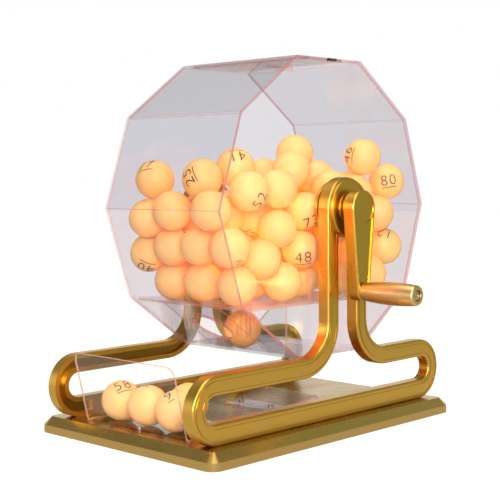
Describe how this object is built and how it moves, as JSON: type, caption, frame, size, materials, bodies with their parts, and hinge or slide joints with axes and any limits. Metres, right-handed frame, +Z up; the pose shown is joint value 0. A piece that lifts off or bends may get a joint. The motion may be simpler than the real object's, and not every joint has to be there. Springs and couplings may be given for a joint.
{
  "type": "raffle drum with crank",
  "caption": "Clear ten-sided raffle drum full of numbered balls, turned by a crank between looped gold side frames over a folded clear ball tray.",
  "frame": {"origin": "on the table plane, straight under the drum's axis and midway between the side frames", "axes": "+X along the drum's axis towards the crank, -Y towards the tray, +Z up"},
  "size_m": [0.3216, 0.379, 0.3821],
  "materials": {
    "gold_casting": "bright gold lacquer over a smooth casting",
    "gold_base": "glossy gold moulding",
    "acrylic": "clear polished acrylic sheet, faintly mauve",
    "ball": "smooth semi-gloss pale orange celluloid",
    "steel": "plain bright steel",
    "bronze": "plain sintered bronze",
    "rubber": "black rubber",
    "dark": "dark plastic"
  },
  "bodies": {
    "stand": {"base_plate": "gold_base", "base_bottom_panel": "dark", "panel_screws": "steel", "rubber_feet": "rubber", "frame_screws": "steel", "frame_right": "gold_casting", "frame_left": "gold_casting", "bush_right": "bronze", "bush_left": "bronze", "bearing_cover_right": "gold_casting", "bearing_cover_left": "gold_casting", "tray": "acrylic", "tray_screws": "steel", "tray_pin": "steel", "drawn_ball_1": "ball", "drawn_ball_2": "ball", "drawn_ball_3": "ball", "drawn_ball_4": "ball"},
    "drum": {"end_cap_right": "acrylic", "end_cap_left": "acrylic", "drum_band": "acrylic", "ball_floor": "acrylic", "stop_comb_right": "acrylic", "stop_comb_left": "acrylic", "lane_wall_right": "acrylic", "lane_wall_left": "acrylic", "stir_rib": "acrylic", "axle_right": "steel", "axle_left": "steel", "axle_screws_right": "steel", "axle_screws_left": "steel", "retaining_ring": "steel", "lid_catch": "dark", "lid_pivots": "steel", "lid_rests": "acrylic", "crank_arm": "gold_casting", "crank_set_screw": "steel", "grip_bolt": "steel", "raffle_balls": "ball", "ball_in_exit": "ball"},
    "lid": {"lid": "acrylic"},
    "grip": {"grip": "gold_casting"}
  },
  "joints": [
    {"name": "drum_spin", "type": "hinge", "parent": "stand", "child": "drum", "pos_m": [0, 0, 0.22997], "axis": [1, 0, 0], "continuous": true},
    {"name": "lid_hinge", "type": "hinge", "parent": "drum", "child": "lid", "pos_m": [0, -0.0341, 0.38064], "axis": [1, 0, 0], "range_deg": [0, 95]},
    {"name": "grip_spin", "type": "hinge", "parent": "drum", "child": "grip", "pos_m": [0.1286, 0, 0.14597], "axis": [1, 0, 0], "continuous": true}
  ]
}
